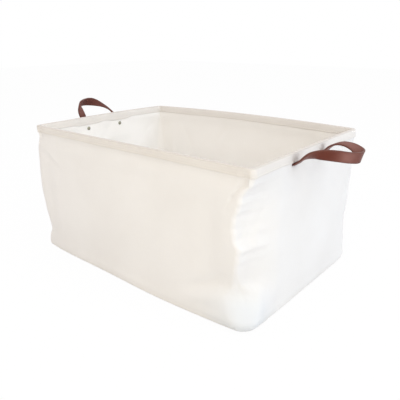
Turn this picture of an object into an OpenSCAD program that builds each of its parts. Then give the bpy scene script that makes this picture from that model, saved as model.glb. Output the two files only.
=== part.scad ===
// Fabric storage bin: a lined canvas box, wired at the rim, with a riveted leather strap at each end.
// X runs along the long side, Y across it, Z up. The origin is the middle of the underside.
// Millimetres throughout.

/* [Bin] */
// Length outside, over the rim binding
bin_length = 500; // [360:1:640]
// Depth outside, over the rim binding
bin_depth = 340; // [240:1:440]
// Height from the floor to the top of the rim
bin_height = 250; // [160:1:340]
// Radius of the upright corners, outside the binding
corner_radius = 16; // [12:1:40]

/* [Cloth] */
// Thickness of the outer canvas
canvas_thick = 1.2; // [0.8:0.1:2.0]
// Thickness of the lining cloth
lining_thick = 1.0; // [0.6:0.1:1.6]
// Thickness of the binding cloth
binding_thick = 1.0; // [0.6:0.1:1.6]
// Height of the binding on both sides of the wall
binding_height = 14; // [12:0.5:22]
// Clearance left where two cloths are sewn together
seam_clearance = 0.2; // [0.1:0.05:0.3]

/* [Rim wire] */
// Diameter of the wire loop in the rim
wire_dia = 4; // [3:0.1:4.6]
// Length of the sleeve that joins the ends of the wire
sleeve_length = 32; // [20:1:60]
// Wall of that sleeve
sleeve_wall = 0.5; // [0.3:0.1:0.6]
// Gap between the two ends of the wire inside the sleeve
wire_end_gap = 1; // [0.5:0.5:3]

/* [Base] */
// Thickness of the stiff board in the base
board_thick = 2.5; // [1.5:0.1:5]
// Clearance between the board and the outer canvas around it
board_clearance = 0.3; // [0.2:0.1:1.5]

/* [Straps] */
// Width of the leather
strap_width = 17; // [14:0.5:20]
// Thickness of the leather
strap_thick = 3.2; // [2.4:0.1:3.6]
// Thickness that the strap ends are skived to inside the wall
skived_thick = 1.6; // [1.0:0.1:2.4]
// Length of each strap end inside the wall, below its slit
tab_length = 17; // [14:0.5:24]
// Distance between the two ends of a strap, middle to middle
strap_span = 86; // [76:1:110]
// Shift of both straps from the middle of the end walls, towards the front
strap_shift = 9; // [0:1:20]
// How far the right-hand loop stands out from the line where it bends
right_reach = 75.5; // [60:0.5:90]
// How high the right-hand loop rises above that line
right_rise = 21; // [12:0.5:28]
// How far the left-hand loop stands out from the line where it bends
left_reach = 32; // [24:0.5:44]
// How high the left-hand loop rises above that line
left_rise = 44.6; // [36:0.5:56]
// Clearance around a strap in its slit, and between the loop and its fixed end
flex_clearance = 0.3; // [0.2:0.05:0.5]

/* [Rivets] */
// Diameter of the domed cap inside the bin
cap_dia = 8; // [6:0.5:10]
// Height of the domed cap
cap_height = 2; // [1.2:0.1:3]
// Diameter of the post
post_dia = 3; // [2.4:0.1:4]
// Diameter of the hidden head between the layers
head_dia = 7; // [6:0.5:9]
// Thickness of the hidden head
head_thick = 0.8; // [0.6:0.1:1.2]
// Distance of the rivet below the slit
rivet_drop = 6; // [5:0.5:9]

/* [Hidden] */
$fn = 48;

CANVAS = "ivory";
LINING = "seashell";
LEATHER = "sienna";
METAL = "darkgray";

// The wall is built outwards and inwards from the path of the rim wire.
// layer_gap leaves room for a skived strap end and the rivet's hidden head.
layer_gap = skived_thick + head_thick + 3 * seam_clearance;
wall_half = (canvas_thick + layer_gap + lining_thick) / 2;
bind_in = wall_half + seam_clearance;
bind_out = bind_in + binding_thick;
path_x = bin_length / 2 - bind_out;
path_y = bin_depth / 2 - bind_out;
path_r = corner_radius - bind_out;

// Heights, from the floor up
board_z = canvas_thick + seam_clearance;
lining_base_z = board_z + board_thick + seam_clearance;
lining_z = lining_base_z + lining_thick + seam_clearance;
bead_z = bin_height - bind_out;
sleeve_bore = wire_dia / 2 + seam_clearance / 4;
sleeve_out = sleeve_bore + sleeve_wall;
wire_z = bin_height - binding_thick - seam_clearance - sleeve_out;
panel_top = wire_z - sleeve_out - seam_clearance;
binding_low = bin_height - binding_height;

// The strap leaves the wall just under the binding and bends on this line
slit_height = strap_thick + 2 * flex_clearance;
bend_z = binding_low - slit_height / 2;
bend_x = bin_length / 2 + flex_clearance + strap_thick / 2;
rivet_z = bend_z - rivet_drop;
tab_in = path_x - wall_half + lining_thick + seam_clearance;
tab_out = tab_in + skived_thick;
head_x = tab_out + seam_clearance / 2;

// ---- Cloth that runs round the box ----

// The profile's x is the distance outside the wire's path, and its y is the height.
module side_run(length) {
    rotate([90, 0, 90]) translate([0, 0, -length / 2]) linear_extrude(length) children();
}

// One side of the box, with half of the corner at each end.
// half is the distance from the box's middle to this side, along is half of the side's length.
module wall_side(half, along) {
    straight = along - path_r;
    translate([0, -half, 0]) mirror([0, 1, 0]) side_run(2 * straight) children();
    for (end = [-1, 1])
        translate([end * straight, -half + path_r, 0])
            rotate([0, 0, end > 0 ? -90 : -135])
                rotate_extrude(angle = 45) translate([path_r, 0]) children();
}

module four_sides() {
    for (turn = [0, 180]) rotate([0, 0, turn]) wall_side(path_y, path_x) children();
    for (turn = [90, 270]) rotate([0, 0, turn]) wall_side(path_x, path_y) children();
}

module footprint(out, low, thick) {
    r = path_r + out;
    translate([0, 0, low]) linear_extrude(thick) union() {
        square([2 * (path_x - path_r), 2 * (path_y + out)], center = true);
        square([2 * (path_x + out), 2 * (path_y - path_r)], center = true);
        for (x = [-1, 1])
            for (y = [-1, 1])
                translate([x * (path_x - path_r), y * (path_y - path_r)]) circle(r);
    }
}

// A layer of the wall, thick inwards from out, all round the box
module wall_ring(out, thick, low) {
    difference() {
        footprint(out, low, panel_top - low);
        footprint(out - thick, low - 1, panel_top - low + 2);
    }
}

// The share of the box that belongs to one side: it ends halfway round each corner.
module side_share(half, along) {
    x = along - path_r;
    y = half - path_r;
    reach = 2 * corner_radius;
    linear_extrude(bin_height)
        polygon([[-x, -y], [-x - reach, -y - reach], [x + reach, -y - reach], [x, -y]]);
}

module front_share() {
    side_share(path_y, path_x);
}

module back_share() {
    mirror([0, 1, 0]) front_share();
}

module end_share(side) {
    rotate([0, 0, side * 90]) side_share(path_x, path_y);
}

module canvas_wall() {
    wall_ring(wall_half, canvas_thick, board_z);
}

module lining_wall() {
    wall_ring(lining_thick - wall_half, lining_thick, lining_z);
}

module outer_front_panel() {
    color(CANVAS) intersection() {
        canvas_wall();
        front_share();
    }
}

module outer_back_panel() {
    color(CANVAS) intersection() {
        canvas_wall();
        back_share();
    }
}

module outer_end_panel(side) {
    color(CANVAS) difference() {
        intersection() {
            canvas_wall();
            end_share(side);
        }
        at_strap_ends(side)
            translate([path_x, -strap_width / 2 - flex_clearance, bend_z - slit_height / 2])
                cube([2 * wall_half, strap_width + 2 * flex_clearance, slit_height]);
    }
}

module outer_base_panel() {
    color(CANVAS) footprint(wall_half, 0, canvas_thick);
}

module lining_front_panel() {
    color(LINING) intersection() {
        lining_wall();
        front_share();
    }
}

module lining_back_panel() {
    color(LINING) intersection() {
        lining_wall();
        back_share();
    }
}

module lining_end_panel(side) {
    color(LINING) difference() {
        intersection() {
            lining_wall();
            end_share(side);
        }
        at_strap_ends(side) post_hole();
    }
}

module lining_base_panel() {
    color(LINING) footprint(lining_thick - wall_half, lining_base_z, lining_thick);
}

module base_board() {
    color("burlywood") footprint(wall_half - canvas_thick - board_clearance, board_z, board_thick);
}

// ---- Rim ----

module rim_binding() {
    color(CANVAS) four_sides() difference() {
        union() {
            translate([0, bead_z]) circle(bind_out);
            translate([-bind_out, binding_low]) square([2 * bind_out, bead_z - binding_low]);
        }
        translate([0, bead_z]) circle(bind_in);
        translate([-bind_in, binding_low - 1]) square([2 * bind_in, bead_z - binding_low + 1]);
    }
}

module rim_wire() {
    color(METAL) difference() {
        four_sides() translate([0, wire_z]) circle(d = wire_dia, $fn = 24);
        translate([-wire_end_gap / 2, path_y - wire_dia, wire_z - wire_dia])
            cube([wire_end_gap, 2 * wire_dia, 2 * wire_dia]);
    }
}

module wire_sleeve() {
    color(METAL) translate([-sleeve_length / 2, path_y, wire_z]) rotate([0, 90, 0]) difference() {
        cylinder(r = sleeve_out, h = sleeve_length);
        translate([0, 0, -1]) cylinder(r = sleeve_bore, h = sleeve_length + 2);
    }
}

// ---- Straps ----

// Puts its children, drawn at the right-hand end wall with y = 0, at both ends of a strap.
module at_strap_ends(side) {
    for (y = [-1, 1])
        mirror([side > 0 ? 0 : 1, 0, 0]) translate([0, -strap_shift + y * strap_span / 2, 0]) children();
}

module post_hole() {
    translate([path_x - 2 * wall_half, 0, rivet_z]) rotate([0, 90, 0])
        cylinder(d = post_dia + 2 * seam_clearance, h = 3 * wall_half);
}

// The fixed end of a strap: a skived tab between the two layers, turned out through the slit.
module strap_end() {
    turn_r = skived_thick;
    stub_x = bend_x - strap_thick / 2 - flex_clearance;
    low = bend_z - strap_thick / 2;
    translate([0, strap_width / 2, 0]) rotate([90, 0, 0]) linear_extrude(strap_width) union() {
        translate([tab_in, low - tab_length]) square([skived_thick, tab_length]);
        translate([tab_in, low]) square([turn_r, strap_thick - turn_r]);
        translate([tab_out, low]) square([stub_x - tab_out, strap_thick]);
        intersection() {
            translate([tab_out, low + strap_thick - turn_r]) circle(turn_r);
            translate([tab_in, low]) square([turn_r, strap_thick]);
        }
    }
}

module strap_ends(side) {
    color(LEATHER) at_strap_ends(side) difference() {
        strap_end();
        post_hole();
        // the corners of the tab are rounded off
        for (y = [-1, 1])
            translate([tab_in - 1, 0, bend_z - strap_thick / 2 - tab_length]) mirror([0, y < 0 ? 1 : 0, 0])
                tab_corner();
    }
}

module tab_corner() {
    r = strap_width / 4;
    translate([0, strap_width / 2 - r, 0]) difference() {
        translate([0, 0, -1]) cube([skived_thick + 2, r + 1, r + 1]);
        translate([-1, 0, r]) rotate([0, 90, 0]) cylinder(r = r, h = skived_thick + 4);
    }
}

// A loop is swept through stations that start and end on the bend line. Each holds where the
// middle of the leather is, as shares of the reach out, the half span along and the rise up,
// and then which way the leather's width points, with its inner or lower edge first.
half_span = strap_span / 2;
RIGHT_STATIONS = [
    [[0, -1, 0], [0, 1, 0]],
    [[0.11, -1.07, 0.43], [0, 1, 0]],
    [[0.32, -1.05, 0.79], [0.2, 0.8, -0.55]],
    [[0.52, -0.94, 0.9], [-0.15, 0.25, -0.95]],
    [[0.71, -0.72, 0.85], [0, 0.05, -1]],
    [[0.9, -0.37, 0.7], [-0.05, 0.05, -1]],
    [[1, 0, 0.6], [-0.1, 0, -1]],
    [[0.97, 0.35, 0.6], [-0.3, -0.15, -0.9]],
    [[0.82, 0.65, 0.81], [-0.5, -0.7, -0.45]],
    [[0.61, 0.82, 1], [-0.4, -0.88, -0.2]],
    [[0.37, 0.92, 0.98], [-0.25, -0.95, -0.1]],
    [[0.16, 1, 0.62], [-0.05, -1, 0]],
    [[0, 1, 0], [0, -1, 0]]
];
LEFT_STATIONS = [
    [[0, -1, 0], [0, 1, 0]],
    [[0.08, -1.09, 0.36], [0.15, 1, 0.05]],
    [[0.14, -1.17, 0.67], [0.24, 0.95, -0.2]],
    [[0.23, -1.12, 0.92], [0.6, 0.65, -0.45]],
    [[0.44, -0.93, 1], [0.68, 0.35, -0.6]],
    [[0.78, -0.58, 1], [0.5, 0.1, -0.85]],
    [[0.98, -0.16, 0.97], [0.1, 0, -0.98]],
    [[1, 0.21, 0.9], [-0.4, -0.2, -0.85]],
    [[0.84, 0.58, 0.74], [-0.8, -0.48, -0.4]],
    [[0.58, 0.86, 0.52], [-0.88, -0.5, -0.12]],
    [[0.27, 0.98, 0.27], [-0.35, -0.95, 0.05]],
    [[0, 1, 0], [0, -1, 0]]
];
// Angle at which each loop leaves the wall, above level
RIGHT_LEAVE = 45;
LEFT_LEAVE = 76;
// How strongly it holds that direction, as a share of the half span
LEAVE_HOLD = 0.37;
loop_steps = 5;

function placed(stations, reach, rise) =
    [for (s = stations) [[s[0][0] * reach, s[0][1] * half_span, s[0][2] * rise], s[1]]];
function unit(v) = v / norm(v);
function spline(a, b, c, d, t) =
    0.5 * (2 * b + (c - a) * t + (2 * a - 5 * b + 4 * c - d) * t * t + (3 * b - a - 3 * c + d) * t * t * t);
function slope(a, b, c, d, t) =
    0.5 * ((c - a) + 2 * (2 * a - 5 * b + 4 * c - d) * t + 3 * (3 * b - a - 3 * c + d) * t * t);

// The stations with one more before and after, so that the loop leaves both ends at its angle
function with_ends(s, leave, k) =
    let (n = len(s), lead = 2 * LEAVE_HOLD * half_span * [cos(leave), 0, sin(leave)])
    k == 0
        ? concat([s[1][0] - lead], [for (p = s) p[0]], [s[n - 2][0] - lead])
        : concat([s[0][1]], [for (p = s) p[1]], [s[n - 1][1]]);

// The rounded end of a loop on its bend line is this much fuller than the leather
knuckle = 0.1;

// One ring of the leather's outline: its long edges are bevelled
function ring(mid, run, wide) =
    let (w = unit(wide - run * (wide * run)), n = cross(run, w))
    let (a = strap_width / 2, b = strap_thick / 2, c = strap_thick / 4)
    [for (q = [[a - c, -b], [a, -b + c], [a, b - c], [a - c, b], [c - a, b], [-a, b - c], [-a, c - b], [c - a, -b]])
        mid + w * q[0] + n * q[1]];

function rings(points, widths) =
    [for (i = [1:len(points) - 3])
        for (k = [0:(i == len(points) - 3 ? loop_steps : loop_steps - 1)])
            let (t = k / loop_steps)
            ring(
                spline(points[i - 1], points[i], points[i + 1], points[i + 2], t),
                unit(slope(points[i - 1], points[i], points[i + 1], points[i + 2], t)),
                spline(widths[i - 1], widths[i], widths[i + 1], widths[i + 2], t)
            )];

module skin(all) {
    n = len(all);
    m = len(all[0]);
    polyhedron(
        points = [for (r = all) for (p = r) p],
        faces = concat(
            [for (i = [0:n - 2]) for (j = [0:m - 1])
                [i * m + j, (i + 1) * m + j, i * m + (j + 1) % m]],
            [for (i = [0:n - 2]) for (j = [0:m - 1])
                [i * m + (j + 1) % m, (i + 1) * m + j, (i + 1) * m + (j + 1) % m]],
            [[for (j = [0:m - 1]) j]],
            [[for (j = [m - 1:-1:0]) (n - 1) * m + j]]
        )
    );
}

module strap_loop(side, stations, leave) {
    color(LEATHER) mirror([side > 0 ? 0 : 1, 0, 0]) translate([bend_x, -strap_shift, bend_z]) union() {
        skin(rings(with_ends(stations, leave, 0), with_ends(stations, leave, 1)));
        for (y = [-1, 1])
            translate([0, y * half_span, 0]) rotate([90, 0, 0])
                cylinder(d = strap_thick + knuckle, h = strap_width + knuckle, center = true);
    }
}

// ---- Rivets ----

module rivet_post() {
    cap_x = path_x - wall_half - seam_clearance / 2;
    dome_r = (cap_dia * cap_dia / 4 + cap_height * cap_height) / (2 * cap_height);
    translate([0, 0, rivet_z]) {
        intersection() {
            translate([cap_x - cap_height + dome_r, 0, 0]) sphere(dome_r);
            translate([cap_x - cap_height, 0, 0]) rotate([0, 90, 0]) cylinder(d = cap_dia, h = cap_height);
        }
        translate([cap_x - cap_height / 2, 0, 0]) rotate([0, 90, 0])
            cylinder(d = post_dia, h = head_x + head_thick - cap_x + cap_height / 2);
    }
}

module rivet_posts(side) {
    color(METAL) at_strap_ends(side) rivet_post();
}

module rivet_heads(side) {
    color(METAL) at_strap_ends(side) translate([head_x, 0, rivet_z]) rotate([0, 90, 0]) difference() {
        cylinder(d = head_dia, h = head_thick);
        translate([0, 0, -1]) cylinder(r = post_dia / 2 + seam_clearance / 4, h = head_thick + 2);
    }
}

outer_front_panel();
outer_back_panel();
outer_end_panel(-1);  // outer_left_panel
outer_end_panel(1);  // outer_right_panel
outer_base_panel();
lining_front_panel();
lining_back_panel();
lining_end_panel(-1);  // lining_left_panel
lining_end_panel(1);  // lining_right_panel
lining_base_panel();
base_board();
rim_binding();
rim_wire();
wire_sleeve();
strap_ends(-1);  // left_strap_ends
strap_loop(-1, placed(LEFT_STATIONS, left_reach, left_rise), LEFT_LEAVE);  // left_strap_loop
rivet_posts(-1);  // left_rivet_posts
rivet_heads(-1);  // left_rivet_heads
strap_ends(1);  // right_strap_ends
strap_loop(1, placed(RIGHT_STATIONS, right_reach, right_rise), RIGHT_LEAVE);  // right_strap_loop
rivet_posts(1);  // right_rivet_posts
rivet_heads(1);  // right_rivet_heads
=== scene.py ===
# %% [markdown]
# # A lined canvas storage bin with two leather straps
# The bin is sewn from flat cuts of canvas: four outer walls and a base, a
# lining of the same five cuts inside them, and a folded band round the rim
# that holds a wire. A board keeps the base flat. A leather strap is riveted
# through each short end. The rigid and hidden parts come ready made in the
# frame. This lesson makes what is soft, runs the wire along its rim, and
# finishes every surface.

# %% Load the frame and keep its size
import math

import bmesh
import bpy
import numpy as np
from mathutils import Matrix, Vector


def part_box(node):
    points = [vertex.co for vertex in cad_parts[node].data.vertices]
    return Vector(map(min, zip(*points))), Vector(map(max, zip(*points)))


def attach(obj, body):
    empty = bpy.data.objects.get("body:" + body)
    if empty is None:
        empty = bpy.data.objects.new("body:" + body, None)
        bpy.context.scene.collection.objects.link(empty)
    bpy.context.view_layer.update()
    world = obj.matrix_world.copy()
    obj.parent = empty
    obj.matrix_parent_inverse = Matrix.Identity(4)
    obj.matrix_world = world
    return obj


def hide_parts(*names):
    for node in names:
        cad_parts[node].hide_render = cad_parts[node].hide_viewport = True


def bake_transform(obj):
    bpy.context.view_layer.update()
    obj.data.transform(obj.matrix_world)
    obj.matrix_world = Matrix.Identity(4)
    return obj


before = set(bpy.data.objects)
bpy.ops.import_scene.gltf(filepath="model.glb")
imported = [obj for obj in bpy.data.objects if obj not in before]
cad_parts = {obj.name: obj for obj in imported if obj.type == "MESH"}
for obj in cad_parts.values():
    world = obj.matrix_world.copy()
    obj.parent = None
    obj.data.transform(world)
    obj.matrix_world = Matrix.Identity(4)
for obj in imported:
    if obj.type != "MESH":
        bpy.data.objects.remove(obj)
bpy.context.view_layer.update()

MM = 0.001
rim_low, rim_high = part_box("rim_binding")

# %% [markdown]
# ## The sizes that the cloth is cut to
# Every wall is two layers of cloth with a little air between them. All the
# forms below are drawn in millimetres about the middle of that wall, because
# a sewing pattern is thought of in that way, and they turn into metres only
# when a mesh is made. The bin's size comes from the frame's own boxes, and only
# thin things, such as the cloth, get their sizes here.

# %% Name the sizes
RIM_X, RIM_Y = rim_high.x / MM, rim_high.y / MM     # outer faces of the rim band
RIM_TOP, RIM_FOOT = rim_high.z / MM, rim_low.z / MM
BAND_OUT = 3.8          # from the middle of the wall to the band's outer face
BAND_IN = 2.8           # inside of the fold that holds the wire
CANVAS, LINING = 1.2, 1.0           # thickness of each cloth
OUTER_AT, LINING_AT = 2.0, -2.1     # middle of each layer, across the wall
PATH = (RIM_X - BAND_OUT, RIM_Y - BAND_OUT)         # the middle of the wall
BEAD_Z = RIM_TOP - BAND_OUT
WALL_TOP = BEAD_Z - BAND_IN
SIDES = ("front", "right", "back", "left")
HALF = (PATH[0], PATH[1], PATH[0], PATH[1])         # half the length of each side
REACH = (PATH[1], PATH[0], PATH[1], PATH[0])        # how far out each side stands
# the way along each side, and the way out of it
ALONG = np.array([(1, 0), (0, 1), (-1, 0), (0, -1)], float)
OUT = np.array([(0, -1), (1, 0), (0, 1), (-1, 0)], float)
print("middle of the wall at", PATH, "rim band from", RIM_FOOT, "to", RIM_TOP)

# %% [markdown]
# ## How the corners bend
# A stiff box would have one radius everywhere. Cloth doesn't: the wire and the
# board hold the corner tight at the rim and at the base, and between them it
# goes round and slack. So each corner gets a small table of heights, with the
# radius there and how far the corner has moved, and smooth curves run between
# the rows. A table is easy to read and to correct, one height at a time.

# %% Tabulate the corners
# height: (radius, moved along x, moved along y), all in millimetres
CORNERS = {
    "front_left": [(0, 5, -3, -.5), (6, 5, -3.4, 0), (26, 6, -1, .5), (34, 7, 2.0, 1.5),
                   (41, 8, 1.7, 1.5), (53, 9, -1, 1), (62, 11, -5.4, 1), (80, 14, -12.6, 1),
                   (97, 17, -17.8, 1), (120, 19, -24.4, 1), (140, 20, -26.6, 1),
                   (160, 19, -25.8, 1), (175, 18, -23.8, 1), (190, 15, -21, 1),
                   (203, 11, -16.9, 1), (216, 8, -10.8, 1), (230, 5, -2, 0),
                   (236, 5, -4.5, 0), (250, 5, -6, 0)],
    "front_right": [(0, 12, 1.2, -1.2), (8, 17, 6, -5.5), (18, 27, 10.5, -9.5),
                    (30, 38, 9.5, -8.5), (42, 40, 2, -2.5), (54, 32, -8, 3.5), (64, 16, -16, 4.5),
                    (77, 8, -19.5, 2), (92, 5, -18.5, -2), (104, 4, -17.5, -3.5),
                    (112, 5, -14.5, -3.5), (120, 4, -15.5, -4), (128, 5, -12, -4),
                    (134, 4, -14.5, -4.5), (142, 4, -20, -4.5), (152, 4, -20.5, -4.5),
                    (160, 5, -23, -4), (170, 4, -21.5, -4), (180, 4, -21, -4), (187, 4, -16.5, -3),
                    (193, 5, -16, -3), (200, 4, -12.5, -3), (208, 4, -13, -2), (214, 4, -9.5, -2),
                    (220, 5, -6.5, -1), (226, 6, -1, 0), (231, 7, -1.5, 0), (236, 8, 0, 0),
                    (250, 8, 0, 0)],
    "back_right": [(0, 5, 1.4, .4), (10, 6, 1.6, .8), (27, 8, 1.8, .6), (61, 10, 1, 0),
                   (80, 11, .3, 0), (94, 12, .4, .2), (104, 12, 2, .6), (115, 12, 1.6, .6),
                   (130, 12, 2.8, 1), (143, 12, 2.6, 1), (170, 10, 3.6, 1.3), (200, 9, 2.6, 1),
                   (229, 7, .2, .4), (236, 6, 1.6, .5), (250, 6, 1.4, .5)],
    "back_left": [(0, 9, 0, 0), (30, 12, -2, 2), (90, 16, -4, 3), (150, 16, -4, 4),
                  (200, 12, -3, 3), (229, 9, 0, 0), (236, 8, -1, 1), (250, 8, -1, 1)],
}
# the corners at the start and the end of each side
START = ("front_left", "front_right", "back_right", "back_left")
END = ("front_right", "back_right", "back_left", "front_left")


def smooth_rows(rows, z):
    """Values of a table at the heights z, on a smooth curve through its rows."""
    rows = np.array(rows, float)
    at, values = rows[:, 0], rows[:, 1:]
    slope = np.gradient(values, at, axis=0)
    peak = (values[1:-1] - values[:-2]) * (values[2:] - values[1:-1]) <= 0
    slope[1:-1][peak] = 0           # so that the curve doesn't run past a peak
    z = np.clip(np.atleast_1d(z), at[0], at[-1])
    k = np.clip(np.searchsorted(at, z, side="right") - 1, 0, len(at) - 2)
    gap = (at[k + 1] - at[k])[:, None]
    t = ((z - at[k])[:, None]) / gap
    return ((2 * t ** 3 - 3 * t ** 2 + 1) * values[k] + (t ** 3 - 2 * t ** 2 + t) * gap * slope[k]
            + (3 * t ** 2 - 2 * t ** 3) * values[k + 1] + (t ** 3 - t ** 2) * gap * slope[k + 1])


def ease(x):
    """From 0 to 1 with a soft start and a soft end."""
    x = np.clip(x, 0, 1)
    return x * x * (3 - 2 * x)


print("corner tables:", {name: len(rows) for name, rows in CORNERS.items()})

# %% [markdown]
# ## Folds and slack in the walls
# Each wall also bellies out a little between its corners, and has soft folds.
# A fold is drawn as a short stroke: where its middle is, how long and how wide
# it is, which way it runs, and how far it stands out (or sinks in, below
# zero). Adding strokes one by one is close to sculpting by hand, but leaves
# every stroke in view, so that it can be changed or taken out again.

# %% Draw the folds
# wall: (along, height, half length, half width, degrees from level, depth)
FOLDS = {
    "front": [(-226, 120, 95, 9, 90, 1.6), (-208, 135, 80, 8, 92, -1.2),
              (-190, 110, 80, 11, 88, 1.0), (-206, 198, 24, 5, -32, 1.3),
              (-205, 186, 22, 5, -30, -.9), (188, 120, 60, 24, 88, -1.6),
              (160, 82, 20, 6, 60, 1.0), (178, 62, 44, 9, 24, -3.6),
              (176, 38, 36, 12, 22, 4.2), (205, 20, 30, 10, 5, 1.5),
              (30, 140, 150, 60, 4, 2.0), (-90, 95, 110, 34, 12, 1.4),
              (-120, 190, 70, 12, -14, -.9), (60, 205, 90, 10, 7, -.8),
              (231, 204, 18, 5, 66, -1.8), (236, 224, 10, 5, 70, -2.5)],
    "right": [(-152, 150, 14, 5, 30, -1.2), (-140, 160, 16, 4, 60, .9), (-134, 138, 20, 5, 65, 1.2),
              (-114, 128, 22, 6, 70, -1.0), (-126, 176, 18, 5, 50, -.8), (-140, 44, 34, 7, 70, 1.2),
              (-122, 36, 34, 8, 62, -1.2), (146, 150, 20, 9, 80, -2.0),
              (150, 84, 22, 9, 100, -1.6), (0, 110, 120, 50, 0, 1.8),
              (60, 190, 60, 12, -16, -.9), (-60, 180, 60, 14, 14, -.8)],
    "back": [(-160, 215, 38, 8, -66, 1.8), (-150, 210, 38, 7, -68, -1.6),
             (60, 198, 30, 7, -50, 1.4), (48, 190, 28, 7, -50, -1.2),
             (160, 190, 40, 9, 60, 1.2), (0, 120, 140, 60, 0, 2.5),
             (-206, 110, 80, 9, 88, 1.2), (-188, 90, 60, 10, 94, -1.0), (206, 140, 70, 9, 93, -1.2),
             (186, 96, 60, 11, 86, 1.0), (90, 70, 90, 16, 12, 1.2), (-60, 60, 80, 14, -9, -1.0)],
    "left": [(-120, 150, 60, 12, 80, 1.4), (120, 120, 70, 12, 95, -1.2),
             (0, 110, 90, 50, 0, 2.0), (-126, 204, 24, 6, -42, 1.1), (130, 200, 26, 6, 40, -1.1),
             (48, 76, 50, 14, 18, -1.2), (-40, 46, 60, 12, -10, 1.0)],
}
BELLY = {"front": 3.0, "right": 2.0, "back": 5.0, "left": 3.5}
print("folds:", {side: len(strokes) for side, strokes in FOLDS.items()})

# %% [markdown]
# The strokes lie on top of a broad belly and of the shallow dimples that all
# cloth has once it has been folded flat. All of it fades out at the foot and at
# the rim, where seams hold the wall straight, and near the strap ends, whose
# leather lies flat between the layers.

# %% Add up the folds
FOOT_FADE, RIM_FADE = 9, 16     # heights over which the folds fade out
STRAP_MID, HALF_SPAN = -9.0, 43.0
STRAP_Y = (STRAP_MID - HALF_SPAN, STRAP_MID + HALF_SPAN)    # the two ends of each strap
HOLD_WIDE, HOLD_SOFT = 40, 22   # how far a strap end keeps the wall flat to each side
HOLD_FROM, HOLD_RISE = 184, 20  # and from which height upward


def strap_hold(side, along):
    """1 where a strap end holds the wall flat and at its height, and 0 well away from it."""
    held = np.zeros_like(along)
    if side in ("left", "right"):
        y = along * ALONG[SIDES.index(side)][1]
        for strap_y in STRAP_Y:
            held = np.maximum(held, ease((HOLD_WIDE - np.abs(y - strap_y)) / HOLD_SOFT))
    return held


def dimples(side_no, along, z):
    """Shallow, uneven waves, in millimetres."""
    a, b = along + 71 * side_no, z + 23 * side_no
    broad = np.sin(a / 31 + .8 * np.sin(b / 43 + 1)) * np.sin(b / 37 + 2 + .6 * np.sin(a / 57))
    small = np.sin((a + b) / 17 + 1.2 * np.sin(b / 29)) * np.sin((a - 1.4 * b) / 26 + 1)
    return .55 * broad + .22 * small


def fold_depth(side, along, z):
    """How far the wall stands out of its plane, in millimetres."""
    half = HALF[SIDES.index(side)]
    inside = 1 - np.clip(np.abs(along) / half, 0, 1) ** 3
    deep = BELLY[side] * inside * np.sin(math.pi * np.clip(z / RIM_FOOT, 0, 1)) ** .8
    deep = deep + dimples(SIDES.index(side), along, z)
    for at, high, long, wide, turn, depth in FOLDS[side]:
        c, s = math.cos(math.radians(turn)), math.sin(math.radians(turn))
        run = ((along - at) * c + (z - high) * s) / long
        across = (-(along - at) * s + (z - high) * c) / wide
        deep = deep + depth * np.exp(-run ** 2 - across ** 2)
    held = strap_hold(side, along) * ease((z - HOLD_FROM) / HOLD_RISE)
    return deep * ease(z / FOOT_FADE) * ease((RIM_FOOT - z) / RIM_FADE) * (1 - held)


print("front bulges by", round(float(fold_depth("front", np.array([30.]), np.array([120.]))[0]), 1),
      "mm near its middle")

# %% [markdown]
# ## The lean of the walls and the drift of the rim
# The board spreads the foot of the walls a little wider than the rim. The wire
# isn't quite flat or straight either: it bows outward and upward between the
# corners, and it draws the cloth in just under itself.

# %% Tabulate the lean and the drift
# how far the foot stands out past the rim everywhere, and more in a swell at one place
FOOT_LEAN = {"front": (8.0, 4.5, 70), "right": (5.5, 1.0, -90), "back": (4.0, 0, 0),
             "left": (4.0, 0, 0)}
SWELL_WIDE = 110


def foot_lean(side, along, z):
    """The walls lean out towards the foot, where the board spreads them, but not at the corners."""
    share = np.clip(np.abs(along) / HALF[SIDES.index(side)], 0, 1)
    everywhere, swell, middle = FOOT_LEAN[side]
    out = everywhere + swell * np.exp(-((along - middle) / SWELL_WIDE) ** 2)
    return out * (1 - share ** 6) * (1 - np.clip(z / RIM_FOOT, 0, 1)) ** 1.3


# how far each wall is drawn in (or out, below zero) just under its wire, which tips the band
DRAWN_IN = {"front": 3.2, "right": -1.6, "back": 2.2, "left": 2.2}
DRAWN_BELOW, DRAWN_TALL = 3, 13     # most at 3 mm under the band, and soft over 13 mm

# small dents where the band bunches near a corner: along, height, half length, half height, depth
CRUMPLES = {"front": ((239, 233, 6.5, 11, 3.4), (226, 240, 4, 8, -.8), (-238, 238, 6, 9, 2.2)),
            "back": ((236, 240, 7, 9, -1.8),), "right": ((-158, 238, 5, 9, -1.2),), "left": ()}


def drawn_in(side, along, z):
    """How far the wire and the bunched cloth draw the wall in, in millimetres."""
    drawn = DRAWN_IN[side] * np.exp(-((z - RIM_FOOT + DRAWN_BELOW) / DRAWN_TALL) ** 2)
    drawn = drawn * (1 - strap_hold(side, along))
    for at, high, long, tall, depth in CRUMPLES[side]:
        drawn = drawn + depth * np.exp(-((along - at) / long) ** 2 - ((z - high) / tall) ** 2)
    return drawn


# outward and upward at the middle of a side, then upward at its first and last corner
RIM_DRIFT = {"front": (0, 0, 0, 0), "right": (0, 0, 0, 4.6), "back": (6.0, 3.2, 4.6, 2.0),
             "left": (0, 2.6, 2.0, 0)}


def rim_bow(side, along):
    """How far the rim has drifted, as (outward, upward) in millimetres."""
    half = HALF[SIDES.index(side)]
    arch = 1 - np.clip(np.abs(along) / half, 0, 1) ** 2
    out, up, first, last = RIM_DRIFT[side]
    return out * arch, up * arch + first + (last - first) * (np.clip(along / half, -1, 1) + 1) / 2


print("foot leans out by", {side: lean[0] for side, lean in FOOT_LEAN.items()}, "mm")

# %% [markdown]
# ## One function for the whole wall
# Both layers of cloth, the rim band and every row of stitches follow the same
# wall, so one function gives its place: the side, the share of the way along
# it, the height, and how far across the wall. Pieces that share one function
# can't drift apart, however much the wall is bent later.

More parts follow.
